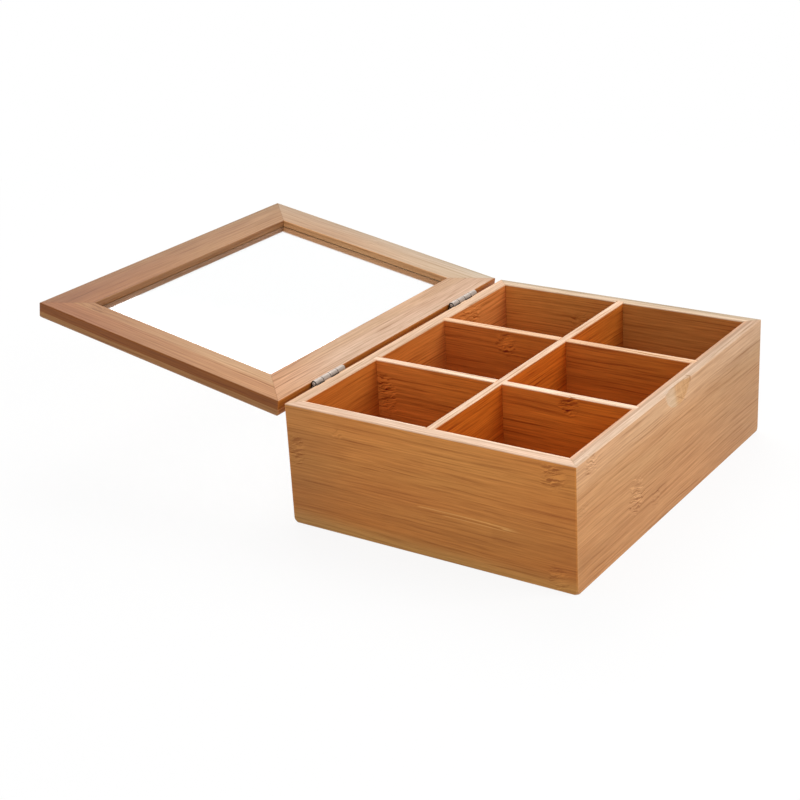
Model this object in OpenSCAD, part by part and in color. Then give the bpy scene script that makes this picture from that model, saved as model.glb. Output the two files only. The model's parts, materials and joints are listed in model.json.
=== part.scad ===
// Tea bag organizer box: a mitred bamboo box with six cells and a hinged lid that frames
// a clear window. The origin is the centre of the underside, the front wall faces -Y and
// the lid is drawn open, resting against its stop behind the box.

/* [Box] */
// Outside length of the box along its front
box_length = 260; // [220:1:320]
// Outside depth of the box from front to rear
box_depth = 200; // [160:1:260]
// Height of the box without its lid
box_height = 80.5; // [60:0.5:110]
// Thickness of the four walls
wall_thickness = 9; // [8:0.5:12]
// Thickness of the base panel
base_thickness = 5; // [3:0.5:8]
// Width of the ledge in the walls that holds the base panel
base_ledge = 4; // [2:0.5:5]

/* [Dividers] */
// Thickness of the three dividers
divider_thickness = 5.5; // [4:0.5:8]
// Depth of the housings in the walls that hold the divider ends
housing_depth = 2.5; // [1:0.5:3]

/* [Lid] */
// Thickness of the lid frame
lid_thickness = 11.5; // [10:0.5:14]
// Width of the four lid rails
rail_width = 26; // [18:0.5:34]
// Angle that the lid has swung through when it reaches its open stop
open_angle = 170; // [165:1:176]
// Gap between the rim and the closed lid
rim_gap = 0.2; // [0.1:0.05:0.5]

/* [Window] */
// Thickness of the clear pane
pane_thickness = 2; // [1.5:0.1:3]
// Depth of the pane below the inner face of the lid
pane_recess = 4.5; // [3:0.25:5]
// Depth of the groove in the rails that holds the pane
pane_groove = 5; // [3:0.5:8]
// Space left at the pane's edges inside the groove
pane_play = 0.5; // [0.2:0.1:1]

/* [Finger scoop] */
// Width of the finger scoop where it meets the rim
scoop_width = 37; // [25:0.5:50]
// Height of the finger scoop on the front wall
scoop_height = 13.5; // [8:0.5:16]
// Depth of the finger scoop at the rim
scoop_depth = 2.6; // [1.5:0.1:4]

/* [Hinges] */
// Length of each hinge
hinge_length = 31; // [26:0.5:40]
// Distance from the end of the box to the near end of each hinge
hinge_inset = 33.5; // [20:0.5:45]
// Diameter of the hinge barrel
barrel_diameter = 4.2; // [3.6:0.1:5]
// Diameter of the hinge pin
pin_diameter = 1.8; // [1.2:0.1:2.2]
// Thickness of the hinge leaves
leaf_thickness = 0.9; // [0.6:0.1:1.2]
// Width of a leaf from the pin's centre to its free edge
leaf_width = 8; // [7.5:0.1:8.2]

/* [Screws] */
// Diameter of the screw shanks
screw_diameter = 2; // [1.6:0.1:2.4]
// Length of the screws below their heads
screw_length = 8; // [6:0.5:8.5]
// Diameter of the domed screw heads
head_diameter = 3.8; // [3.2:0.1:4.2]
// Distance between the two screws of a leaf
screw_spacing = 19; // [14:0.5:20]
// Distance from the pin's centre to the row of screws
screw_reach = 5.2; // [4.8:0.1:5.4]

/* [Edges and fits] */
// Radius of the eased bottom edges of the box
bottom_round = 1; // [0.5:0.25:3]
// Distance from the four bottom corners of the box at which their rounding starts
corner_round = 5; // [2:0.5:6]
// Radius of the rounded edges around the top of the lid
lid_round = 3; // [1:0.25:3.25]
// Radius of the rounded window edge on top of the lid
window_round = 2.5; // [0.5:0.25:3]
// Radius of the eased edges of the rim, the dividers and the corners
eased_edge = 0.8; // [0.4:0.1:1.2]
// Clearance on each side of a divider, in its housings and halved joints
joint_fit = 0.05; // [0.02:0.01:0.2]
// Clearance on each side of the pane in its groove
pane_fit = 0.1; // [0.05:0.05:0.3]
// Clearance between the hinge barrel and the wood
barrel_clearance = 0.1; // [0.05:0.05:0.3]
// Clearance around the pin in the knuckles
pin_fit = 0.05; // [0.02:0.01:0.1]
// Gap between neighbouring knuckles
knuckle_gap = 0.4; // [0.1:0.05:0.6]
// Depth of the notches in the rear wall's rim that let the lid's knuckles turn
notch_depth = 1.2; // [0.5:0.1:2]
// Clearance around a screw, in its leaf and its pilot hole
screw_fit = 0.05; // [0.02:0.01:0.1]
// Gap between the facing screw heads that stop the open lid
stop_gap = 0.3; // [0.1:0.05:0.6]

/* [Hidden] */
$fn = 64;

// A cut reaches this far past the face that it opens through
over = 1;
// The inside of the box
inner_length = box_length - 2 * wall_thickness;
inner_depth = box_depth - 2 * wall_thickness;
// Three cells along the box, so two cross dividers between them
cell_count = 3;
cell_length = (inner_length - (cell_count - 1) * divider_thickness) / cell_count;
cross_x = (cell_length + divider_thickness) / 2;
divider_height = box_height - base_thickness;
// The halved joints of the dividers meet at half their height
halving_z = base_thickness + divider_height / 2;
// A divider stops this short of the bottom of its housings
housing_play = 2 * joint_fit;
// The hinge axis lies behind the rear wall, level with the middle of the rim gap
barrel_radius = barrel_diameter / 2;
axis_offset = barrel_radius + barrel_clearance;
axis_y = box_depth / 2 + axis_offset;
axis_z = box_height + rim_gap / 2;
lid_floor = box_height + rim_gap;
// Four knuckles, the first and third on the lid
knuckle_count = 4;
knuckle_pitch = hinge_length / knuckle_count;
// A leaf's plate clears the other leaf's knuckles by this much
plate_clearance = 0.4;
// A notch reaches down to the leaf's plate, and this far past the left end of its knuckle
notch_bottom = axis_z - barrel_radius - plate_clearance;
notch_play = 1;
leaf_corner = 1;
left_hinge_x = hinge_inset - box_length / 2;
right_hinge_x = box_length / 2 - hinge_inset - hinge_length;
// The pin's ends are peened wider just outside the end knuckles
peen_play = 0.1;
peen_height = 0.4;
peen_diameter = pin_diameter + 0.8;
// The screw heads are as tall as the folded leaves allow at the open stop
half_fold = (180 - open_angle) / 2;
face_offset = axis_offset - leaf_thickness;
head_height = face_offset * cos(half_fold) + screw_reach * sin(half_fold) - stop_gap / 2;
head_radius = head_diameter / 2;
dome_radius = (pow(head_radius, 2) + pow(head_height, 2)) / (2 * head_height);
tip_length = screw_diameter;
pilot_extra = 0.4;
recess_width = 0.45;
recess_length = 0.55 * head_diameter;
recess_depth = 0.7;
// The scoop is part of a sphere: its circle on the front face passes through the two
// ends of the scoop at the rim and the scoop's lowest point
half_scoop = scoop_width / 2;
scoop_rise = (pow(half_scoop, 2) - pow(scoop_height, 2)) / (2 * scoop_height);
scoop_near = (pow(half_scoop, 2) / scoop_depth - scoop_depth) / 2;
scoop_radius = sqrt(pow(scoop_near + scoop_depth, 2) + pow(scoop_rise, 2));

bamboo = "#d9a878";
bamboo_dark = "#b97b45";
bamboo_pale = "#e3c19a";
nickel = "#c9cacb";
clear_acrylic = [0.86, 0.93, 0.95, 0.35];

// A 2D cutter that rounds the corner at [x, y]; sx and sy point into the material
module corner_cutter(x, y, sx, sy, r) {
    translate([x, y]) scale([sx, sy]) difference() {
        translate([-over, -over]) square(r + over);
        translate([r, r]) circle(r);
    }
}

// The outline of the box or the lid seen from above, with eased corners
module outline() {
    difference() {
        square([box_length, box_depth], center = true);
        for (sx = [-1, 1], sy = [-1, 1])
            corner_cutter(sx * box_length / 2, sy * box_depth / 2, -sx, -sy, eased_edge);
    }
}

// What sanding takes off the bottom corners: all outside a ball that touches the three edges
module corner_sanding() {
    for (sx = [-1, 1], sy = [-1, 1]) difference() {
        translate([sx * box_length / 2, sy * box_depth / 2, 0]) cube(2 * corner_round, center = true);
        translate([sx * (box_length / 2 - corner_round), sy * (box_depth / 2 - corner_round), corner_round])
            sphere(sqrt(2) * corner_round);
    }
}

// One side of a mitred frame seen from above: a trapezoid of the given width
module mitred_side(side, width) {
    a = box_length / 2;
    b = box_depth / 2;
    corners = [[-a, -b], [a, -b], [a, b], [-a, b]];
    inner = [[width - a, width - b], [a - width, width - b], [a - width, b - width], [width - a, b - width]];
    next = (side + 1) % 4;
    intersection() {
        outline();
        polygon([corners[side], corners[next], inner[next], inner[side]]);
    }
}

// Runs a profile along one side of the frame; its x is the depth from the outer face
module run_profile(side) {
    along = side % 2 == 0 ? box_length : box_depth;
    across = side % 2 == 0 ? box_depth : box_length;
    rotate([0, 0, 90 * side]) translate([-along / 2, -across / 2, 0]) rotate([90, 0, 90])
        linear_extrude(along) children();
}

// A wall's section: eased at the bottom and the rim, with a ledge for the base
module wall_profile() {
    difference() {
        square([wall_thickness, box_height]);
        corner_cutter(0, 0, 1, 1, bottom_round);
        corner_cutter(0, box_height, 1, -1, eased_edge);
        corner_cutter(wall_thickness, box_height, -1, -1, eased_edge);
        translate([wall_thickness - base_ledge, -over]) square([base_ledge + over, base_thickness + over]);
    }
}

// A plain wall; sides run 0 front, 1 right, 2 rear, 3 left
module wall(side) {
    difference() {
        intersection() {
            run_profile(side) wall_profile();
            linear_extrude(box_height) mitred_side(side, wall_thickness);
        }
        corner_sanding();
    }
}

// Space for one end of a divider, open at the rim; it lies across the wall on side +Y
module housing() {
    width = divider_thickness + 2 * joint_fit;
    translate([-width / 2, -over, base_thickness])
        cube([width, housing_depth + over, divider_height + over]);
}

module cross_housings() {
    for (x = [-cross_x, cross_x]) translate([x, inner_depth / 2, 0]) housing();
}

module front_wall() {
    color(bamboo) difference() {
        wall(0);
        mirror([0, 1, 0]) cross_housings();
        translate([0, -box_depth / 2 - scoop_near, box_height + scoop_rise]) sphere(scoop_radius);
    }
}

// Notches in the rim behind a hinge, one for each of the lid's knuckles
module knuckle_notches(x) {
    for (index = [0 : 2 : knuckle_count - 1])
        translate([x + index * knuckle_pitch - notch_play, box_depth / 2 - notch_depth, notch_bottom])
            cube([knuckle_pitch + notch_play, notch_depth + over, box_height - notch_bottom + over]);
}

module rear_wall() {
    color(bamboo) difference() {
        wall(2);
        cross_housings();
        for (x = [left_hinge_x, right_hinge_x]) {
            box_side(x) pilot_holes();
            knuckle_notches(x);
        }
    }
}

module right_wall() {
    color(bamboo) difference() {
        wall(1);
        translate([inner_length / 2, 0, 0]) rotate([0, 0, -90]) housing();
    }
}

module left_wall() {
    color(bamboo) difference() {
        wall(3);
        translate([-inner_length / 2, 0, 0]) rotate([0, 0, 90]) housing();
    }
}

module base_panel() {
    color(bamboo_dark) translate([0, 0, base_thickness / 2])
        cube([inner_length + 2 * base_ledge, inner_depth + 2 * base_ledge, base_thickness], center = true);
}

// A divider of the given length, standing on the base along X with eased top edges
module divider(length) {
    translate([-length / 2, 0, base_thickness]) rotate([90, 0, 90]) linear_extrude(length) difference() {
        translate([-divider_thickness / 2, 0]) square([divider_thickness, divider_height]);
        for (s = [-1, 1]) corner_cutter(s * divider_thickness / 2, divider_height, -s, -1, eased_edge);
    }
}

// The slot of a halved joint, from the given height upwards
module halving(z) {
    width = divider_thickness + 2 * joint_fit;
    translate([-width / 2, -divider_thickness / 2 - over, z])
        cube([width, divider_thickness + 2 * over, divider_height + over]);
}

// The long divider crosses over the others, so its slots open downwards
module long_divider() {
    color(bamboo) difference() {
        divider(inner_length + 2 * (housing_depth - housing_play));
        for (x = [-cross_x, cross_x])
            translate([x, 0, 0]) halving(halving_z + joint_fit - divider_height - over);
    }
}

// A cross divider runs from front to rear, and its slot opens upwards
module cross_divider(x) {
    color(bamboo) translate([x, 0, 0]) rotate([0, 0, 90]) difference() {
        divider(inner_depth + 2 * (housing_depth - housing_play));
        halving(halving_z - joint_fit);
    }
}

module left_cross_divider() {
    cross_divider(-cross_x);
}

module right_cross_divider() {
    cross_divider(cross_x);
}

// Swings a piece of the closed lid to the open stop
module open_lid() {
    translate([0, axis_y, axis_z]) rotate([-open_angle, 0, 0]) translate([0, -axis_y, -axis_z]) children();
}

// A rail's section in the closed lid, with the groove for the pane
module rail_profile() {
    difference() {
        square([rail_width, lid_thickness]);
        corner_cutter(0, 0, 1, 1, eased_edge);
        corner_cutter(rail_width, 0, -1, 1, eased_edge);
        corner_cutter(0, lid_thickness, 1, -1, lid_round);
        corner_cutter(rail_width, lid_thickness, -1, -1, window_round);
        translate([rail_width - pane_groove, pane_recess - pane_fit])
            square([pane_groove + over, pane_thickness + 2 * pane_fit]);
    }
}

// A lid rail in the closed lid; sides run 0 front, 1 right, 2 rear, 3 left
module rail(side) {
    translate([0, 0, lid_floor]) intersection() {
        run_profile(side) rail_profile();
        linear_extrude(lid_thickness) mitred_side(side, rail_width);
    }
}

module lid_front_rail() {
    color(bamboo) open_lid() rail(0);
}

module lid_rear_rail() {
    color(bamboo) open_lid() difference() {
        rail(2);
        for (x = [left_hinge_x, right_hinge_x]) lid_side(x) pilot_holes();
    }
}

module lid_right_rail() {
    color(bamboo_pale) open_lid() rail(1);
}

module lid_left_rail() {
    color(bamboo) open_lid() rail(3);
}

module window_pane() {
    inset = rail_width - pane_groove + pane_play;
    color(clear_acrylic) open_lid()
        translate([0, 0, lid_floor + pane_recess + pane_thickness / 2])
            cube([box_length - 2 * inset, box_depth - 2 * inset, pane_thickness], center = true);
}

// Hinge pieces are drawn for the box side: x runs along the hinge from its left end,
// y points away from the wood with 0 on the wood's face, and z is 0 at the pin
module box_side(x) {
    translate([x, box_depth / 2, axis_z]) children();
}

// The lid's side is the mirror image above the pin
module lid_side(x) {
    translate([x, box_depth / 2, axis_z]) mirror([0, 0, 1]) children();
}

// The two screw positions of a leaf
module at_screws() {
    for (s = [-1, 1])
        translate([hinge_length / 2 + s * screw_spacing / 2, 0, -screw_reach]) children();
}

// A cylinder from the origin along -Y
module into_wood(diameter, length) {
    rotate([90, 0, 0]) cylinder(d = diameter, h = length);
}

module pilot_holes() {
    at_screws() translate([0, over, 0])
        into_wood(screw_diameter + 2 * screw_fit, over + screw_length - leaf_thickness + pilot_extra);
}

// The flat of a leaf, from below the knuckles to its free edge, with rounded corners
module leaf_plate() {
    top = barrel_radius + plate_clearance;
    rotate([90, 0, 0]) translate([0, 0, -leaf_thickness]) linear_extrude(leaf_thickness) difference() {
        translate([0, -leaf_width]) square([hinge_length, leaf_width - top]);
        corner_cutter(0, -leaf_width, 1, 1, leaf_corner);
        corner_cutter(hinge_length, -leaf_width, -1, 1, leaf_corner);
    }
}

// A knuckle rolled from the leaf: the flat runs on up to the pin and the barrel meets it
module knuckle(index) {
    start = index * knuckle_pitch + (index == 0 ? 0 : knuckle_gap / 2);
    end = (index + 1) * knuckle_pitch - (index == knuckle_count - 1 ? 0 : knuckle_gap / 2);
    root = barrel_radius + plate_clearance + over;
    translate([start, 0, 0]) {
        translate([0, axis_offset, 0]) rotate([0, 90, 0]) cylinder(r = barrel_radius, h = end - start);
        translate([0, 0, -root]) cube([end - start, leaf_thickness, root]);
    }
}

// A leaf with its knuckles, bored for the pin and drilled for the screws
module leaf(first_knuckle) {
    difference() {
        union() {
            leaf_plate();
            for (index = [first_knuckle : 2 : knuckle_count - 1]) knuckle(index);
        }
        translate([-over, axis_offset, 0]) rotate([0, 90, 0])
            cylinder(d = pin_diameter + 2 * pin_fit, h = hinge_length + 2 * over);
        at_screws() translate([0, leaf_thickness + over, 0])
            into_wood(screw_diameter + 2 * screw_fit, leaf_thickness + 2 * over);
    }
}

module hinge_box_leaf(x) {
    color(nickel) box_side(x) leaf(1);
}

module hinge_lid_leaf(x) {
    color(nickel) open_lid() lid_side(x) leaf(0);
}

module hinge_pin(x) {
    length = hinge_length + 2 * peen_play;
    color(nickel) translate([x - peen_play, axis_y, axis_z]) rotate([0, 90, 0]) {
        cylinder(d = pin_diameter, h = length);
        translate([0, 0, -peen_height]) cylinder(d1 = pin_diameter, d2 = peen_diameter, h = peen_height);
        translate([0, 0, length]) cylinder(d1 = peen_diameter, d2 = pin_diameter, h = peen_height);
    }
}

// A domed screw with a cross recess; its head bears on the leaf
module screw() {
    difference() {
        intersection() {
            translate([0, head_height - dome_radius, 0]) sphere(dome_radius);
            rotate([-90, 0, 0]) cylinder(d = head_diameter + 2 * over, h = head_height + over);
        }
        for (turn = [0, 90]) rotate([0, turn, 0])
            translate([-recess_length / 2, head_height - recess_depth, -recess_width / 2])
                cube([recess_length, recess_depth + over, recess_width]);
    }
    into_wood(screw_diameter, screw_length - tip_length);
    translate([0, tip_length - screw_length, 0]) rotate([90, 0, 0])
        cylinder(d1 = screw_diameter, d2 = 0, h = tip_length);
}

module leaf_screws() {
    at_screws() translate([0, leaf_thickness, 0]) screw();
}

module hinge_box_screws(x) {
    color(nickel) box_side(x) leaf_screws();
}

module hinge_lid_screws(x) {
    color(nickel) open_lid() lid_side(x) leaf_screws();
}

base_panel();
front_wall();
rear_wall();
left_wall();
right_wall();
long_divider();
left_cross_divider();
right_cross_divider();
lid_front_rail();
lid_rear_rail();
lid_left_rail();
lid_right_rail();
window_pane();
hinge_box_leaf(left_hinge_x);  // left_hinge_box_leaf
hinge_lid_leaf(left_hinge_x);  // left_hinge_lid_leaf
hinge_pin(left_hinge_x);  // left_hinge_pin
hinge_box_screws(left_hinge_x);  // left_hinge_box_screws
hinge_lid_screws(left_hinge_x);  // left_hinge_lid_screws
hinge_box_leaf(right_hinge_x);  // right_hinge_box_leaf
hinge_lid_leaf(right_hinge_x);  // right_hinge_lid_leaf
hinge_pin(right_hinge_x);  // right_hinge_pin
hinge_box_screws(right_hinge_x);  // right_hinge_box_screws
hinge_lid_screws(right_hinge_x);  // right_hinge_lid_screws
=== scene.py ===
import json
import math

import bpy
from mathutils import Matrix, Vector


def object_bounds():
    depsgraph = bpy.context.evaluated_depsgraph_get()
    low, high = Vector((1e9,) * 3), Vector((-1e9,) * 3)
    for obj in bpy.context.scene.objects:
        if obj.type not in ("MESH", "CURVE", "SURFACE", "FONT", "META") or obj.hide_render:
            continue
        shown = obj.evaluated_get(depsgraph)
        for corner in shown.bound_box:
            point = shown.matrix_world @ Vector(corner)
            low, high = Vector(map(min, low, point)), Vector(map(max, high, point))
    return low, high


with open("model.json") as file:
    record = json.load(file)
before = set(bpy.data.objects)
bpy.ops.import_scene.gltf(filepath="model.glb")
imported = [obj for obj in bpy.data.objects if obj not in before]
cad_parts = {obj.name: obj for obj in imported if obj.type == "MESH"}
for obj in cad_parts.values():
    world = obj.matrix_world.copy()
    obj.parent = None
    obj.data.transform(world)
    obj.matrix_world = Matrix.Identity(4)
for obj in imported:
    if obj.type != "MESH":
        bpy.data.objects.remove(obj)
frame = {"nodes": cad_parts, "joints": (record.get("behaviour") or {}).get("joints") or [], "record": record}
cad_low, cad_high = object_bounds()

MM = 0.001
X, Y, Z = Vector((1, 0, 0)), Vector((0, 1, 0)), Vector((0, 0, 1))

# The photograph's view, found from the corners of the box and the lid
EYE = Vector((-852.75, -489.51, 462.83)) * MM
AIM = Vector((-150.33, 0.0, 108.96)) * MM
ROLL = math.radians(-3.276)
PICTURE = 800
FOCAL_LENGTH = 1654.2
SENSOR = 36.0

# The hinge line and the turn that brings a closed lid to its open place
HINGE = frame["joints"][0]
HINGE_LINE = Vector(HINGE["pos_m"])
OPEN_ANGLE = math.radians(HINGE["range_deg"][1])
OPENING = (
    Matrix.Translation(HINGE_LINE)
    @ Matrix.Rotation(-OPEN_ANGLE, 4, Vector(HINGE["axis"]))
    @ Matrix.Translation(-HINGE_LINE)
)
LID_NODES = frame["record"]["behaviour"]["bodies"]["lid"]


class Value:
    """Something that varies over a surface. Arithmetic on it adds Math nodes."""

    def __init__(self, finish, socket):
        self.finish = finish
        self.socket = socket

    def __add__(self, other):
        return self.finish.math("ADD", self, other)

    def __sub__(self, other):
        return self.finish.math("SUBTRACT", self, other)

    def __rsub__(self, other):
        return self.finish.math("SUBTRACT", other, self)

    def __mul__(self, other):
        return self.finish.math("MULTIPLY", self, other)

    def __truediv__(self, other):
        return self.finish.math("DIVIDE", self, other)

    __radd__ = __add__
    __rmul__ = __mul__


class Finish:
    """A node tree, and the few ways in which this model's finishes add nodes to it."""

    def __init__(self, owner):
        owner.use_nodes = True
        self.tree = owner.node_tree
        self.tree.nodes.clear()

    def node(self, kind, settings=None, sockets=None, out=0):
        """Makes a node of that kind. Settings go first, then values or links by socket name or number."""
        made = self.tree.nodes.new("ShaderNode" + kind)
        for name, value in (settings or {}).items():
            if name == "ramp":
                self.fill_ramp(made.color_ramp, *value)
            else:
                setattr(made, name, value)
        for name, value in (sockets or {}).items():
            if isinstance(value, Value):
                self.tree.links.new(value.socket, made.inputs[name])
            else:
                made.inputs[name].default_value = value
        return Value(self, made.outputs[out]) if made.outputs else made

    def fill_ramp(self, ramp, passing, stops):
        """Fills a colour ramp. passing is how one colour passes into the next, such as CONSTANT or EASE."""
        ramp.interpolation = passing
        for number, (start, colour) in enumerate(stops):
            stop = ramp.elements[number] if number < 2 else ramp.elements.new(start)
            stop.position = start
            stop.color = (*colour, 1.0)
        while len(ramp.elements) > len(stops):
            ramp.elements.remove(ramp.elements[-1])

    def math(self, operation, first, second=0.0):
        return self.node("Math", {"operation": operation}, {0: first, 1: second})

    def vector(self, operation, first, second, out=0):
        return self.node("VectorMath", {"operation": operation}, {0: first, 1: second}, out)

    def fade(self, value, start, end):
        """Goes smoothly from 0 at start to 1 at end."""
        limits = {"Value": value, "From Min": start, "From Max": end}
        return self.node("MapRange", {"interpolation_type": "SMOOTHSTEP"}, limits)

    def mix(self, factor, first, second):
        """Blends two colours: the first at 0, the second at 1, and on past them."""
        colours = [(*each, 1.0) if isinstance(each, tuple) else each for each in (first, second)]
        settings = {"data_type": "RGBA", "clamp_factor": False}
        return self.node("Mix", settings, {0: factor, 6: colours[0], 7: colours[1]}, 2)

    def multiply(self, *colours):
        product = colours[0]
        for colour in colours[1:]:
            product = self.vector("MULTIPLY", product, colour)
        return product

    def noise(self, x, y, z, detail=2.0):
        """Smooth noise about 0, mostly within a quarter either way."""
        place = self.node("CombineXYZ", None, {0: x, 1: y, 2: z})
        return self.node("TexNoise", None, {"Vector": place, "Scale": 1.0, "Detail": detail}) - 0.5


# Shares of a board's own colour: its darkest and palest grain, its redder and yellower patches and its pale
# streaks; then painted light on the finger scoop's left, painted shade on its right and painted shade in the
# notches
GRAIN_DARK = (0.70, 0.60, 0.48)
GRAIN_PALE = (1.28, 1.36, 1.50)
REDDER = (1.04, 0.94, 0.86)
YELLOWER = (0.96, 1.06, 1.12)
PALE_STREAK = (0.92, 1.14, 1.60)
SCOOP_PAINTED_LIGHT = (0.98, 1.13, 1.34)
SCOOP_PAINTED_SHADE = (0.94, 0.91, 0.81)
NOTCH_SHADE = (0.12, 0.08, 0.06)
AS_IS = (1.0, 1.0, 1.0)
PLAIN_PLY = ((0.0, AS_IS),)

# A board's own tone, half way from the darkest grain to the palest, and how much the grain is lifted
MIDDLE = 0.5
GRAIN_LIFT = 0.07

# The board's noises, in waves per millimetre along the grain, across it and through the board.
# Each shift sets one apart from the others.
RAGGED = dict(waves=(0.16, 0.30, 0.2), shift=1.0, detail=3.0)
DRIFT = dict(waves=(0.009, 0.022, 0.05), shift=3.1)
RIPPLE = dict(waves=(0.032, 0.06, 0.06), shift=6.6)
HUE = dict(waves=(0.009, 0.05, 0.06), shift=9.4)
CLOUDS = dict(waves=(0.014, 0.045, 0.06), shift=1.7)
BANDS = dict(waves=(0.007, 0.20, 0.16), shift=2.3)
FINE_GRAIN = dict(waves=(0.024, 0.80, 0.60), shift=4.9, detail=2.0)
FIBRES = dict(waves=(0.090, 2.40, 1.80), shift=5.7, detail=2.0)
STROKES = dict(waves=(0.07, 0.85, 0.5), shift=6.1)

# Thin lines in the grain: how far apart they lie and how far they waver, in millimetres.
# Their breaks have so many waves per millimetre along the grain, per spacing across it and per
# millimetre through the board. The edges are where a line and its breaks start and are full.
HEAVY_LINES = dict(spacing=3.6, waver=9.0, shift=7.9)
LIGHT_LINES = dict(spacing=1.7, waver=5.0, shift=8.8)
WAVER_WAVES = (0.006, 0.09, 0.08)
BREAK_WAVES = (0.020, 0.8, 0.3)
LINE_EDGE = (0.50, 1.0)
BREAK_EDGE = (-0.12, 0.16)

# How much each layer of the grain adds to a board's tone and to its relief
TONE_SHARES = dict(clouds=0.24, bands=0.34, fine=1.00, fibres=0.62, heavy=-0.36, light=-0.24)
RELIEF_SHARES = dict(fine=0.6, fibres=0.6, heavy=-0.3)

# How far the lines are moved over, in millimetres: per millimetre through the board, by ripples,
# and by knuckles
LEAN = 0.7
RIPPLE_WIDTH = 1.1
KNUCKLE_PUSH = 1.2
KNUCKLE_SCATTER = 2.0

# A knuckle's ragged outline, and the strokes in it: their slant, their bend and their shares of the tone
KNUCKLE_RAGGEDNESS = 2.2
KNUCKLE_EDGE = (1.15, 0.25)
STROKE_SLANT = 0.30
STROKE_BEND = 5.0
DARK_STROKES = (0.03, 0.11)
PALE_STROKES = (-0.03, -0.11)
PALE_SHARE = 0.75
KNUCKLE_SHADE = 0.10
STROKE_RELIEF = 0.5

# Seams between strips and hairlines at mitres: their sway with the drift, their half widths in
# millimetres and their shares of the tone
SEAM_SWAY = 0.5
SEAM_HALF_WIDTH = 0.4
SEAM_SHADE = 0.14
JOINT_HALF_WIDTH = 0.30
JOINT_SHADE = 0.35

# Painted highlight on the eased corners, between these distances from a board's end in millimetres, and its
# share of the tone
CORNER_HIGHLIGHT_SPAN = (1.0, 0.2)
CORNER_HIGHLIGHT_GAIN = 0.30

# How softly streaks start and end, in millimetres, and the tone from which a pale one is less orange
STREAK_START = 6.0
STREAK_END = 2.0
STRONG_STREAK = 0.3

# The finger scoop's cut face, in millimetres: the softness of its two ends, where it starts and ends
# through the wall, where its left passes into its right, and how far from its left end its painted light
# grows full
SCOOP_SOFTNESS = 0.5
CUT_STARTS = (0.06, 0.25)
CUT_ENDS = (3.6, 3.2)
LEFT_TO_RIGHT = (-3.0, 3.0)
PAINTED_LIGHT_REACH = 6.0

# The cut ends of fibres on the scoop's right: waves per millimetre, and their share of the tone
FIBRE_END_WAVES = (0.7, 0.10, 0.5)
FIBRE_END_SHARE = 0.8

# The scoop's painted light and shade at the wall's rim, as a share, and where below the rim it grows full, in
# millimetres
RIM_SHARE = 0.3
RIM_FADE = (0.5, 1.1)

# A dark spot near the scoop's right end, up by the rim, and a dark line along its lip, in millimetres and
# shares of the tone
DARK_SPOT_RISE = (5.5, 1.0)
DARK_SPOT_INSET = 1.0
DARK_SPOT_HALF_WIDTH = 1.1
DARK_SPOT_TONE = 0.60
LIP_SLOPE = 0.55
LIP_HEIGHT = 6.5
LIP_HALF_WIDTH = 0.7
LIP_STARTS = (-1.0, 3.0)
LIP_ENDS = (12.0, 10.0)
LIP_SHADE = 0.35
MARKS_END = (3.8, 2.8)

# Where a face passes into a sawn edge and into the inner face, in millimetres from the corner
EDGE_BAND = (0.85, 0.45)
INNER_BAND = (0.70, 0.35)

# The plies' sway with the drift, and the share of a board's length from which its last colour comes in
PLY_SWAY = 0.6
RUN_START = 0.3

# How softly the notches' shade starts, in millimetres
NOTCH_SOFTNESS = 0.2

# The satin lacquer: its roughness at the middle tone, what a pale tone takes off it, its shine, and how
# strongly and how high the grain is felt through it
SATIN = 0.46
PALE_IS_SMOOTHER = 0.12
LACQUER_SHINE = 0.28
RELIEF_STRENGTH = 0.35
RELIEF_HEIGHT = 0.12 * MM


def wear(node, material):
    """Gives a CAD node its finish."""
    slots = frame["nodes"][node].data.materials
    slots.clear()
    slots.append(material)


def directions(node, lay):
    """A board's corner, its three directions and its three lengths in millimetres, from its own vertices."""
    on_lid = node in LID_NODES
    place = OPENING.inverted() if on_lid else Matrix()
    points = [place @ v.co for v in frame["nodes"][node].data.vertices]
    low = Vector(min(p[i] for p in points) for i in range(3))
    high = Vector(max(p[i] for p in points) for i in range(3))
    corner = Vector()
    axes = []
    for name in lay.split():
        number = "xyz".index(name[1])
        forward = name[0] == "+"
        corner[number] = low[number] if forward else high[number]
        axes.append((X, Y, Z)[number] * (1 if forward else -1))
    lengths = [abs((high - low).dot(axis)) / MM for axis in axes]
    if on_lid:
        corner = OPENING @ corner
        turn = OPENING.to_3x3()
        axes = [turn @ axis for axis in axes]
    return corner, axes, lengths


def weigh(layers, shares):
    """The sum of the layers of grain, each times its share."""
    total = 0.0
    for name, share in shares.items():
        total = layers[name] * share + total
    return total


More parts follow.
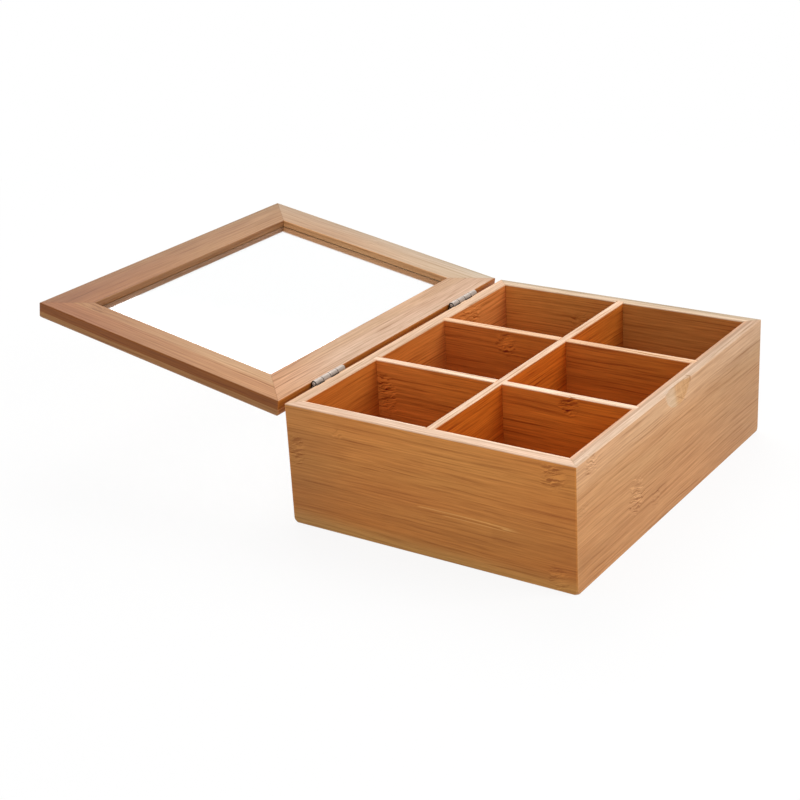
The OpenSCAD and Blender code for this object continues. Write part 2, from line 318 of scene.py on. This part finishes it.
class Board:
    """A bamboo board's finish. Its tone is 0 for the darkest grain and 1 for the palest.

    Places on a board are millimetres from its corner: along the grain, across it and through the board.
    """

    def __init__(self, node, lay, seed, contrast):
        self.node = node
        self.seed = seed
        self.contrast = contrast
        self.material = bpy.data.materials.new("Bamboo " + node.replace("_", " "))
        self.finish = Finish(self.material)
        corner, axes, (self.length, self.width, self.depth) = directions(node, lay)
        point = self.finish.node("TexCoord", out="Object")
        from_corner = self.finish.vector("SUBTRACT", point, tuple(corner))
        self.along, self.across, self.through = [
            self.finish.vector("DOT_PRODUCT", from_corner, tuple(axis / MM), "Value") for axis in axes
        ]
        self.fade = self.finish.fade
        self.knuckle = 0.0
        self.ragged = self.noise(**RAGGED)
        self.stains = []

    def steps(self, passing, stops, place, length):
        """The colour at a place, from stops in millimetres."""
        shares = [(start / length, colour) for start, colour in stops]
        return self.finish.node("ValToRGB", {"ramp": (passing, shares)}, {0: place / length})

    def noise(self, waves, shift, detail=1.0, lane=None):
        """Noise with so many waves per millimetre each way, across the board or across its lanes of grain."""
        along = self.along * waves[0]
        across = (lane or self.across) * waves[1]
        through = self.through * waves[2] + self.seed * shift
        return self.finish.noise(along, across, through, detail)

    def near(self, value, centre, half_width):
        """1 where value is at centre, down to 0 at half_width from it."""
        return self.fade(self.finish.math("ABSOLUTE", value - centre), half_width, 0.0)

    def mark_knuckles(self, knuckles):
        """Ragged patches where the culm had its knuckles.

        Each has its places along and across, its half length, its half width and its strength.
        """
        for at_along, at_across, half_length, half_width, strength in knuckles:
            off_along = (self.along - at_along) / half_length
            off_across = (self.across - at_across) / half_width
            reach = off_along * off_along + off_across * off_across + self.ragged * KNUCKLE_RAGGEDNESS
            self.knuckle = self.fade(reach, *KNUCKLE_EDGE) * strength + self.knuckle

    def lines(self, spacing, waver, shift):
        """Thin lines about that far apart, each of them coming and going along its length."""
        turns = (self.lane + self.noise(WAVER_WAVES, shift) * waver) / (spacing / 2)
        line = self.fade(self.finish.math("PINGPONG", turns, 1.0), *LINE_EDGE)
        break_waves = (BREAK_WAVES[0], BREAK_WAVES[1] / spacing, BREAK_WAVES[2])
        breaks = self.noise(break_waves, shift + 0.7, lane=self.lane)
        return line * self.fade(breaks, *BREAK_EDGE)

    def run_grain(self, sway):
        """Long thin lines and fibres over a slow drift of tone and hue. Knuckles push the lines aside."""
        self.drift = self.noise(**DRIFT)
        ripple = self.noise(**RIPPLE) * RIPPLE_WIDTH
        pushed = self.knuckle * KNUCKLE_PUSH + self.ragged * self.knuckle * KNUCKLE_SCATTER
        self.lane = self.across + self.through * LEAN + self.drift * sway + ripple + pushed
        self.hue = self.noise(**HUE, lane=self.lane)
        layers = {
            "clouds": self.noise(**CLOUDS, lane=self.lane),
            "bands": self.noise(**BANDS, lane=self.lane),
            "fine": self.noise(**FINE_GRAIN, lane=self.lane),
            "fibres": self.noise(**FIBRES, lane=self.lane),
            "heavy": self.lines(**HEAVY_LINES),
            "light": self.lines(**LIGHT_LINES),
        }
        self.tone = MIDDLE + (weigh(layers, TONE_SHARES) + GRAIN_LIFT) * self.contrast
        self.relief = weigh(layers, RELIEF_SHARES)

    def lay_strips(self, strips):
        """Strips side by side, as start and tone, with a thin line where each one starts."""
        stops = [(start, (MIDDLE + shift,) * 3) for start, shift in strips]
        place = self.across + self.drift * SEAM_SWAY
        self.tone = self.tone + self.steps("CONSTANT", stops, place, self.width) - MIDDLE
        for start, _ in strips[1:]:
            self.tone = self.tone - self.near(place, start, SEAM_HALF_WIDTH) * SEAM_SHADE

    def draw_streaks(self, streaks):
        """Thin lines and broad bands that stand out. Strong pale ones are less orange too.

        Each has its place across, its start and its end along the grain, its half width and its tone.
        """
        for at_across, start, end, half_width, shift in streaks:
            begun = self.fade(self.along, start - STREAK_START, start + STREAK_START)
            ended = self.fade(self.along, end + STREAK_END, end - STREAK_END)
            mark = self.near(self.lane, at_across, half_width) * (begun * ended) * shift
            self.tone = self.tone + mark
            if shift > STRONG_STREAK:
                self.stains.append(self.finish.mix(mark, AS_IS, PALE_STREAK))

    def fleck_knuckles(self, depth):
        """Thin dark and pale strokes that bend a little off the grain, inside the knuckles."""
        askew = self.across + self.along * STROKE_SLANT + self.ragged * STROKE_BEND
        strokes = self.noise(**STROKES, lane=askew)
        dark = self.fade(strokes, *DARK_STROKES) * self.knuckle
        pale = self.fade(strokes, *PALE_STROKES) * self.knuckle
        self.tone = self.tone + (pale * PALE_SHARE - dark - self.knuckle * KNUCKLE_SHADE) * depth
        self.relief = self.relief + (pale - dark) * STROKE_RELIEF

    def close_mitre(self, lies):
        """A painted highlight on the eased corners, and a hairline at the joints, mitred through the board or
        across it.
        """
        from_end = self.finish.math("MINIMUM", self.along, self.length - self.along)
        off_joint = from_end - (self.through if lies == "through" else self.across)
        joint = self.near(off_joint, 0.0, JOINT_HALF_WIDTH) * JOINT_SHADE
        # The eased corners get a painted highlight.
        self.tone = self.tone - joint + self.fade(from_end, *CORNER_HIGHLIGHT_SPAN) * CORNER_HIGHLIGHT_GAIN

    def scoop_out(self, centre, lowest, half_width):
        """The finger scoop: painted light on its left; on its right painted shade, cut ends of fibres and a
        dark spot; a dark line along its lip.
        """
        off = self.along - centre
        from_middle = self.finish.math("ABSOLUTE", off)
        span = self.fade(from_middle, half_width + SCOOP_SOFTNESS, half_width - SCOOP_SOFTNESS)
        cut = span * self.fade(self.through, *CUT_STARTS) * self.fade(self.through, *CUT_ENDS)
        on_right = self.fade(off, *LEFT_TO_RIGHT)
        places = [place * waves for place, waves in zip((off, self.across, self.through), FIBRE_END_WAVES)]
        fibre_ends = self.finish.noise(*places)
        dark_spot_height = self.fade(self.across, *[self.width - below for below in DARK_SPOT_RISE])
        dark_spot = self.near(off, half_width - DARK_SPOT_INSET, DARK_SPOT_HALF_WIDTH) * dark_spot_height
        lip_line = self.near(self.across + off * LIP_SLOPE, lowest + LIP_HEIGHT, LIP_HALF_WIDTH)
        lip = lip_line * self.fade(off, *LIP_STARTS) * self.fade(off, *LIP_ENDS)
        shade = (dark_spot * DARK_SPOT_TONE + lip * LIP_SHADE) * self.fade(self.through, *MARKS_END)
        self.tone = self.tone + cut * on_right * fibre_ends * FIBRE_END_SHARE - shade
        # Painted light on the scoop's left passes into painted shade on its right.
        pale = self.finish.mix(self.fade(off, -half_width, PAINTED_LIGHT_REACH - half_width), AS_IS, SCOOP_PAINTED_LIGHT)
        tint = self.finish.mix(on_right, pale, SCOOP_PAINTED_SHADE)
        below_rim = self.fade(self.across, *[self.width - below for below in RIM_FADE])
        strength = RIM_SHARE + below_rim * (1.0 - RIM_SHARE)
        self.stains.append(self.finish.mix(cut * strength, AS_IS, tint))

    def paint_notch_shade(self, spans, bottom, depth):
        """Painted shade inside the notches that the hinges' knuckles turn in, from spans along the board."""
        inside = 0.0
        for start, end in spans:
            begun = self.fade(self.along, start - NOTCH_SOFTNESS, start)
            inside = begun * self.fade(self.along, end + NOTCH_SOFTNESS, end) + inside
        inside = inside * self.fade(self.through, depth + NOTCH_SOFTNESS, depth)
        inside = inside * self.fade(self.across, bottom - NOTCH_SOFTNESS, bottom)
        inside = inside * self.fade(self.across, self.width, self.width - NOTCH_SOFTNESS)
        # The notches get a near-black painted shade.
        self.stains.append(self.finish.mix(inside, AS_IS, NOTCH_SHADE))

    def run(self, colours):
        """One colour, or the first at the board's start passing into the last at its end."""
        share = self.fade(self.along, self.length * RUN_START, self.length)
        return self.finish.mix(share, colours[0], colours[-1])

    def colour(self, face, edge, inner, plies, ends, reach, blush):
        """Colour by face. The outer one has stops across the board, and the sawn edges show the plies."""
        finish = self.finish
        near_edge = finish.math("MINIMUM", self.across, self.width - self.across)
        on_edge = self.fade(near_edge, *EDGE_BAND)
        on_inner = self.fade(self.through, *[self.depth - band for band in INNER_BAND])
        ply = self.steps("CONSTANT", plies, self.through + self.drift * PLY_SWAY, self.depth)
        start = finish.mix(self.fade(self.along, 0.0, reach), ends[0], AS_IS)
        end = finish.mix(self.fade(self.along, self.length - reach, self.length), AS_IS, ends[1])
        outer = finish.multiply(self.steps("EASE", face, self.across, self.width), start, end)
        sides = finish.mix(on_inner, outer, self.run(inner))
        ground = finish.mix(on_edge, sides, finish.multiply(self.run(edge), ply))
        shade = finish.mix(self.tone, GRAIN_DARK, GRAIN_PALE)
        hue = finish.mix(MIDDLE + self.hue * blush, REDDER, YELLOWER)
        return finish.multiply(ground, shade, hue, *self.stains)

    def close(self, colour):
        """Satin lacquer over the colour, with the grain felt through it."""
        relief = {"Strength": RELIEF_STRENGTH, "Distance": RELIEF_HEIGHT, "Height": self.relief}
        surface = {
            "Base Color": colour,
            "Roughness": SATIN - (self.tone - MIDDLE) * PALE_IS_SMOOTHER,
            "Specular IOR Level": LACQUER_SHINE,
            "Normal": self.finish.node("Bump", None, relief),
        }
        shader = self.finish.node("BsdfPrincipled", None, surface)
        self.finish.node("OutputMaterial", None, {"Surface": shader})
        wear(self.node, self.material)


def bamboo(node, lay, seed, face, edge, inner, strips, knuckles, streaks=(), plies=PLAIN_PLY,
           mitre=None, scoop=None, notches=None, contrast=1.0, sway=3.0, flecks=0.55,
           ends=(AS_IS, AS_IS), reach=90.0, blush=1.0):
    """Finishes one board. lay names its directions along the grain, across it and through it."""
    board = Board(node, lay, seed, contrast)
    board.mark_knuckles(knuckles)
    board.run_grain(sway)
    board.lay_strips(strips)
    board.draw_streaks(streaks)
    board.fleck_knuckles(flecks)
    if mitre:
        board.close_mitre(mitre)
    if scoop:
        board.scoop_out(*scoop)
    if notches:
        board.paint_notch_shade(*notches)
    board.close(board.colour(face, edge, inner, plies, ends, reach, blush))


# The plate's darker and paler patches, and the painted shade on the end faces of the leaves' knuckles
PLATE_DARK = (0.38, 0.32, 0.275)
PLATE_PALE = (0.54, 0.47, 0.42)
END_PAINTED_SHADE = (0.035, 0.022, 0.015)
PATINA_CONTRAST = 1.6
PLATE_ROUGHNESS = 0.60

# How squarely a face looks along X where the ends' painted shade starts and where it is full
END_SHADE_FACING = (0.80, 0.95)

# The rubbing's share in the roughness and its relief
RUB_ROUGHNESS = 0.25
RUB_STRENGTH = 0.25
RUB_HEIGHT = 0.04 * MM

# Waves per millimetre along X, Y and Z
RUB_WAVES = (0.25, 5.0, 5.0)
PATINA_WAVES = (0.3, 0.5, 0.5)


def nickel(name, shaded_ends):
    """Nickel plate, finely rubbed along X. The second argument is 1 where the end faces get painted shade, or
    else 0.
    """
    material = bpy.data.materials.new(name)
    finish = Finish(material)
    point = finish.node("TexCoord", out="Object")
    parts = [finish.vector("DOT_PRODUCT", point, tuple(axis / MM), "Value") for axis in (X, Y, Z)]
    rubbed = finish.noise(*[part * waves for part, waves in zip(parts, RUB_WAVES)], 3.0)
    patina = finish.noise(*[part * waves for part, waves in zip(parts, PATINA_WAVES)], 2.0)
    plate = finish.mix(0.5 + patina * PATINA_CONTRAST, PLATE_DARK, PLATE_PALE)
    facing = finish.vector("DOT_PRODUCT", finish.node("TexCoord", out="Normal"), tuple(X), "Value")
    # End faces that look along X are painted near black: painted shade on the knuckles' ends.
    end_shade = finish.fade(finish.math("ABSOLUTE", facing), *END_SHADE_FACING) * shaded_ends
    relief = {"Strength": RUB_STRENGTH, "Distance": RUB_HEIGHT, "Height": rubbed}
    surface = {
        "Base Color": finish.mix(end_shade, plate, END_PAINTED_SHADE),
        "Metallic": 1.0,
        "Roughness": PLATE_ROUGHNESS + rubbed * RUB_ROUGHNESS,
        "Normal": finish.node("Bump", None, relief),
    }
    shader = finish.node("BsdfPrincipled", None, surface)
    finish.node("OutputMaterial", None, {"Surface": shader})
    return material


# The window: nearly white, polished, with a faint haze in patches of about a centimetre
ACRYLIC = (0.985, 0.99, 0.99, 1.0)
ACRYLIC_IOR = 1.49
POLISH = 0.015
HAZE = 0.01
HAZE_SCALE = 90.0


def clear_acrylic():
    """Clear polished sheet that lets lamps through."""
    material = bpy.data.materials.new("Clear acrylic")
    finish = Finish(material)
    point = finish.node("TexCoord", out="Object")
    haze = finish.node("TexNoise", None, {"Vector": point, "Scale": HAZE_SCALE, "Detail": 2.0})
    surface = {
        "Base Color": ACRYLIC,
        "Roughness": POLISH + haze * HAZE,
        "IOR": ACRYLIC_IOR,
        "Transmission Weight": 1.0,
    }
    sheet = finish.node("BsdfPrincipled", None, surface)
    open_way = finish.node("BsdfTransparent")
    shadow = finish.node("LightPath", out="Is Shadow Ray")
    both = finish.node("MixShader", None, {0: shadow, 1: sheet, 2: open_way})
    finish.node("OutputMaterial", None, {"Surface": both})
    return material


# Colours of the boards, linear
PLAIN = (0.56, 0.26, 0.085)
INSIDE = (0.61, 0.190, 0.026)
# RIM is paler partly as the sawn ply edges and partly as painted sheen on the rim.
RIM = (0.70, 0.44, 0.26)
LID_PLIES = ((0, (0.67, 0.445, 0.13)), (6, (1, 1, 1)))

# The notches that the lid's knuckles turn in, in millimetres: their bottom, their depth and where they lie
# along the rear wall. The lid's knuckles are the first and the third of each hinge's four.
KNUCKLE_COUNT = 4
LID_KNUCKLES = (0, 2)
NOTCH_PLAY = 1.0
NOTCH_BOTTOM = 78.1
NOTCH_DEPTH = 1.2
NOTCHES = []
for side in ("left", "right"):
    places = [v.co.x / MM - cad_low.x / MM for v in frame["nodes"][side + "_hinge_lid_leaf"].data.vertices]
    pitch = (max(places) - min(places)) / KNUCKLE_COUNT
    for number in LID_KNUCKLES:
        start = min(places) + number * pitch
        NOTCHES.append((start - NOTCH_PLAY, start + pitch))

# Each board's finish. face has colours at millimetres across it, and edge and inner pass from a first colour
# at the board's start to a last one at its end. The edge colours show on the rims, paler partly as sawn ply
# edges and partly as painted sheen. plies tint the sawn edges at millimetres from the face.
# ends tint the outer face over the reach from each end, partly as drift in the board's own colour and partly
# as painted light and shade.
BOARDS = {
    "front_wall": dict(
        lay="+x +z +y",
        seed=1.0,
        face=(
            (0, (0.51, 0.236, 0.076)),
            (40, (0.505, 0.236, 0.078)),
            (56, (0.51, 0.247, 0.087)),
            (76, (0.575, 0.322, 0.154)),
        ),
        edge=((0.74, 0.52, 0.355), (0.54, 0.340, 0.202)),
        inner=(INSIDE,),
        strips=((0.0, 0.0), (22.0, -0.03), (44.0, 0.0)),
        plies=(
            (0, (1, 1, 1)),
            (4.3, (0.80, 0.70, 0.62)),
            (6.5, (0.96, 0.82, 0.70)),
            # From 7.3 mm the rim's inner edge is paler: a painted highlight on the eased edge.
            (7.3, (1.10, 0.92, 0.78)),
        ),
        knuckles=((17, 74, 8, 7, 0.9), (74, 31, 10, 13, 1.1), (100, 18, 6, 7, 0.5), (6, 50, 8, 6, 0.4)),
        streaks=(
            (67.4, 30, 256, 0.45, -0.22),
            (72.0, 110, 250, 0.8, 0.12),
            (20.0, 0, 115, 8.0, -0.16),
            (36.0, 0, 110, 7.0, 0.13),
            (62.0, 95, 240, 6.0, -0.10),
        ),
        mitre="through",
        scoop=(130.0, 67.0, 18.5),
        ends=((1.03, 0.97, 0.90), (0.83, 0.87, 0.96)),
        reach=130.0,
        blush=0.7,
    ),
    "rear_wall": dict(
        lay="+x +z -y",
        seed=2.0,
        face=((0, PLAIN),),
        edge=(RIM,),
        inner=((0.54, 0.150, 0.021), (0.61, 0.208, 0.050)),
        strips=((0.0, 0.0), (20.0, 0.05), (41.0, -0.04), (62.0, 0.02)),
        # The outer ply on the rim is paler: painted light that lifts the shade from the open lid's edge.
        plies=((0, (1.15, 1.13, 1.12)), (2.6, (1, 1, 1)), (4.5, (0.93, 0.91, 0.9))),
        knuckles=((200, 72, 16, 8, 1.0), (60, 28, 8, 9, 0.9)),
        mitre="through",
        notches=(NOTCHES, NOTCH_BOTTOM, NOTCH_DEPTH),
        contrast=1.3,
        flecks=0.65,
    ),
    "left_wall": dict(
        lay="+y +z +x",
        seed=3.0,
        face=(
            (0, (0.53, 0.265, 0.068)),
            (14, (0.48, 0.172, 0.029)),
            (30, (0.50, 0.179, 0.031)),
            (50, (0.555, 0.209, 0.038)),
        ),
        edge=((0.79, 0.54, 0.363), (0.72, 0.465, 0.30)),
        inner=(INSIDE,),
        strips=((0.0, -0.02), (20.0, 0.0), (42.0, -0.03), (65.0, 0.08)),
        # From 7.3 mm the rim's inner edge is paler: a painted highlight on the eased edge.
        plies=((0, (0.98, 0.95, 0.93)), (4, (0.96, 0.94, 0.93)), (7.3, (1.17, 1.18, 1.15))),
        knuckles=((162, 67, 4, 4, 0.5), (193, 52, 7, 11, 0.7), (14, 71, 9, 9, 0.95), (12, 9, 7, 8, 0.8)),
        streaks=(
            (32.4, 42, 105, 0.65, 0.75),
            (30.2, 46, 88, 0.60, 0.60),
            (31.4, 40, 48, 0.90, 0.90),
            (65.2, 0, 140, 0.4, -0.25),
            (40.5, 14, 60, 0.6, -0.35),
            (55.0, 155, 200, 12.0, -0.16),
            (27.0, 0, 55, 11.0, -0.12),
            (62.0, 10, 100, 6.0, 0.12),
        ),
        mitre="through",
        ends=((0.95, 0.90, 0.84), (0.84, 0.87, 0.96)),
        reach=60.0,
    ),
    "right_wall": dict(
        lay="+y +z -x",
        seed=4.0,
        face=((0, PLAIN),),
        edge=((0.68, 0.494, 0.325),),
        inner=((0.50, 0.20, 0.044), (0.65, 0.262, 0.054)),
        strips=((0.0, 0.03), (21.0, -0.02), (43.0, 0.02), (64.0, -0.03)),
        plies=((0, (0.71, 0.70, 0.65)), (3.4, (0.94, 0.94, 0.92)), (5.5, (1, 0.98, 0.96))),
        knuckles=((130, 60, 8, 9, 0.9), (40, 20, 8, 9, 0.8)),
        mitre="through",
        contrast=1.2,
    ),
    "long_divider": dict(
        lay="+x +z +y",
        seed=5.0,
        face=((0, (0.56, 0.132, 0.0115)),),
        edge=((0.80, 0.52, 0.33),),
        inner=(INSIDE,),
        strips=((0.0, 0.0), (26.0, 0.04), (50.0, -0.03)),
        knuckles=((180, 40, 7, 9, 0.7),),
        contrast=1.5,
        flecks=0.6,
        ends=(AS_IS, (0.80, 0.98, 1.3)),
    ),
    "left_cross_divider": dict(
        lay="+y +z +x",
        seed=6.0,
        face=((0, (0.63, 0.185, 0.0235)),),
        edge=((0.95, 0.64, 0.43),),
        inner=(INSIDE,),
        strips=((0.0, 0.0), (22.0, -0.03), (46.0, 0.03)),
        knuckles=((178, 52, 8, 15, 1.1), (44, 69, 8, 7, 0.9)),
        contrast=1.5,
        flecks=0.75,
        ends=((0.98, 0.86, 0.60), (1.04, 1.12, 1.50)),
    ),
    "right_cross_divider": dict(
        lay="+y +z +x",
        seed=7.0,
        face=((0, (0.56, 0.161, 0.0215)),),
        edge=((0.86, 0.51, 0.28),),
        inner=(INSIDE,),
        strips=((0.0, 0.0), (24.0, 0.03), (48.0, -0.03)),
        knuckles=((136, 66, 8, 9, 1.0),),
        contrast=1.4,
        flecks=0.80,
        ends=((0.96, 0.96, 0.84), (1.02, 1.04, 1.30)),
    ),
    "base_panel": dict(
        lay="+x +y -z",
        seed=8.0,
        face=((0, INSIDE),),
        edge=(PLAIN,),
        inner=(PLAIN,),
        strips=((0, 0.0), (24, 0.04), (49, -0.03), (73, 0.02), (98, -0.04), (122, 0.04), (147, 0.0)),
        knuckles=((70, 60, 8, 12, 0.8), (190, 110, 8, 12, 0.8), (130, 25, 8, 10, 0.7)),
        contrast=1.2,
    ),
    "lid_front_rail": dict(
        lay="+x +y +z",
        seed=9.0,
        face=(
            (0, (0.30, 0.134, 0.034)),
            (8, (0.32, 0.130, 0.032)),
            (13, (0.333, 0.134, 0.033)),
            (19, (0.375, 0.158, 0.041)),
        ),
        edge=((0.395, 0.25, 0.152),),
        inner=(PLAIN,),
        strips=((0.0, 0.0), (14.0, -0.04)),
        plies=((0, (0.82, 0.59, 0.38)), (6, (0.74, 0.64, 0.58))),
        knuckles=(),
        mitre="across",
        # Painted shade darkens the rail towards its left end and painted light pales it towards its right
        # end.
        ends=((0.82, 0.62, 0.27), (1.06, 1.22, 1.65)),
        reach=165.0,
    ),
    "lid_rear_rail": dict(
        lay="+x -y +z",
        seed=10.0,
        face=(
            (0, (0.61, 0.382, 0.237)),
            (9, (0.587, 0.356, 0.216)),
            (14, (0.573, 0.341, 0.198)),
            (19, (0.523, 0.298, 0.150)),
        ),
        edge=((0.55, 0.25, 0.09),),
        inner=(PLAIN,),
        strips=((0.0, 0.0), (13.0, 0.03)),
        plies=LID_PLIES,
        knuckles=(),
        mitre="across",
        contrast=1.3,
        ends=((0.95, 0.72, 0.47), (0.90, 0.88, 0.85)),
    ),
    "lid_left_rail": dict(
        lay="+y +x +z",
        seed=11.0,
        face=((0, (0.395, 0.167, 0.045)), (13, (0.395, 0.168, 0.046)), (18, (0.40, 0.202, 0.072))),
        edge=((0.336, 0.147, 0.0417),),
        inner=(PLAIN,),
        strips=((0.0, -0.05), (15.5, 0.17)),
        plies=LID_PLIES,
        knuckles=((32, 20, 12, 6, 0.5),),
        streaks=((3.0, 10, 190, 0.4, -0.2), (8.0, 0, 180, 0.4, -0.2), (13.0, 20, 200, 0.4, -0.2)),
        mitre="across",
        # Painted shade darkens the rail towards its free end and painted light pales it towards the hinge.
        ends=((0.79, 0.59, 0.25), (1.19, 1.22, 1.32)),
        reach=135.0,
    ),
    "lid_right_rail": dict(
        lay="+y -x +z",
        seed=12.0,
        face=(
            (0, (0.428, 0.289, 0.171)),
            (8, (0.461, 0.290, 0.165)),
            (13, (0.466, 0.279, 0.148)),
            (19, (0.454, 0.259, 0.130)),
        ),
        edge=((0.575, 0.295, 0.118),),
        inner=(PLAIN,),
        strips=((0.0, 0.0), (13.0, 0.03)),
        plies=((0, (1.07, 1.04, 1.06)), (6, (0.87, 0.84, 0.94))),
        knuckles=((96, 12, 7, 9, 0.4),),
        mitre="across",
        contrast=0.85,
        ends=((0.93, 0.90, 0.86), (1.20, 1.40, 1.64)),
        reach=150.0,
    ),
}
for node, facts in BOARDS.items():
    bamboo(node, **facts)

# The leaves' knuckles get painted shade on their end faces.
leaf_metal = nickel("Nickel plate with painted shade on its ends", 1.0)
metal = nickel("Nickel plate", 0.0)
for name in frame["nodes"]:
    if "hinge" in name:
        wear(name, leaf_metal if "leaf" in name else metal)
wear("window_pane", clear_acrylic())


# Studio light, floor and white surroundings
FILL = 0.50
FLOOR_BOUNCE = 0.80
FLOOR_GLOW = 0.88
FLOOR_HALF = 4.0
WHITE = (1.0, 1.0, 1.0, 1.0)

# How far from the middle the floor's shading starts to fade into the white, and where it ends
FLOOR_FADE = (0.35, 1.0)


def seen_directly(finish):
    """1 for what the camera sees, straight or by a mirror or through glass."""
    rays = ("Is Camera Ray", "Is Glossy Ray", "Is Transmission Ray")
    straight, mirrored, through_glass = [finish.node("LightPath", out=name) for name in rays]
    return finish.math("MAXIMUM", finish.math("MAXIMUM", straight, mirrored), through_glass)


def surroundings():
    """White all round, which lights the box less than it shows."""
    world = bpy.data.worlds.new("White room")
    bpy.context.scene.world = world
    finish = Finish(world)
    strength = FILL + seen_directly(finish) * (1.0 - FILL)
    light = finish.node("Background", None, {"Color": WHITE, "Strength": strength})
    finish.node("OutputWorld", None, {"Surface": light})


def floor():
    """A pale floor that keeps the box's shadow and passes into the white around it."""
    mesh = bpy.data.meshes.new("Floor")
    half = FLOOR_HALF
    corners = [(-half, -half, 0), (half, -half, 0), (half, half, 0), (-half, half, 0)]
    mesh.from_pydata(corners, [], [(0, 1, 2, 3)])
    floor_object = bpy.data.objects.new("Floor", mesh)
    bpy.context.scene.collection.objects.link(floor_object)
    material = bpy.data.materials.new("Pale floor")
    finish = Finish(material)
    bounce = finish.node("BsdfDiffuse", None, {"Color": (FLOOR_BOUNCE,) * 3 + (1.0,)})
    shadow = finish.node("BsdfDiffuse", None, {"Color": (1.0 - FLOOR_GLOW,) * 3 + (1.0,)})
    glow = finish.node("Emission", None, {"Color": WHITE, "Strength": FLOOR_GLOW})
    near = finish.node("AddShader", None, {0: shadow, 1: glow})
    far = finish.node("Emission", None, {"Color": WHITE, "Strength": 1.0})
    off_centre = finish.vector("LENGTH", finish.node("TexCoord", out="Object"), (0, 0, 0), "Value")
    white = finish.node("MixShader", None, {0: finish.fade(off_centre, *FLOOR_FADE), 1: near, 2: far})
    both = finish.node("MixShader", None, {0: seen_directly(finish), 1: bounce, 2: white})
    finish.node("OutputMaterial", None, {"Surface": both})
    mesh.materials.append(material)


def softbox(name, place, size, level, mirrored=True):
    """A square lamp aimed at the box. A white board there, turned to it, renders as level by its light alone.

    One that isn't mirrored shows in no gloss or glass, so that the closed window doesn't glare.
    """
    lamp = bpy.data.lights.new(name, "AREA")
    lamp.size = size
    aim = (cad_low + cad_high) / 2
    place = Vector(place)
    lamp.energy = level * math.pi ** 2 * (place - aim).length_squared
    holder = bpy.data.objects.new(name, lamp)
    holder.location = place
    holder.visible_glossy = mirrored
    holder.visible_transmission = mirrored
    holder.rotation_mode = "QUATERNION"
    holder.rotation_quaternion = (aim - place).to_track_quat("-Z", "Y")
    bpy.context.scene.collection.objects.link(holder)


def camera():
    """The photograph's camera."""
    data = bpy.data.cameras.new("Camera")
    data.sensor_width = SENSOR
    data.lens = FOCAL_LENGTH / PICTURE * SENSOR
    holder = bpy.data.objects.new("Camera", data)
    level = (AIM - EYE).to_track_quat("-Z", "Y").to_matrix().to_4x4()
    holder.matrix_world = Matrix.Translation(EYE) @ level @ Matrix.Rotation(ROLL, 4, "Z")
    bpy.context.scene.collection.objects.link(holder)
    bpy.context.scene.camera = holder


surroundings()
floor()
softbox("Key", place=(0.60, -1.85, 1.15), size=1.2, level=0.45, mirrored=False)
softbox("Top", place=(0.90, 0.70, 1.40), size=1.2, level=0.45)
softbox("Left", place=(-1.50, -0.40, 0.80), size=1.2, level=0.18)
camera()
bpy.context.scene.view_settings.view_transform = "Standard"
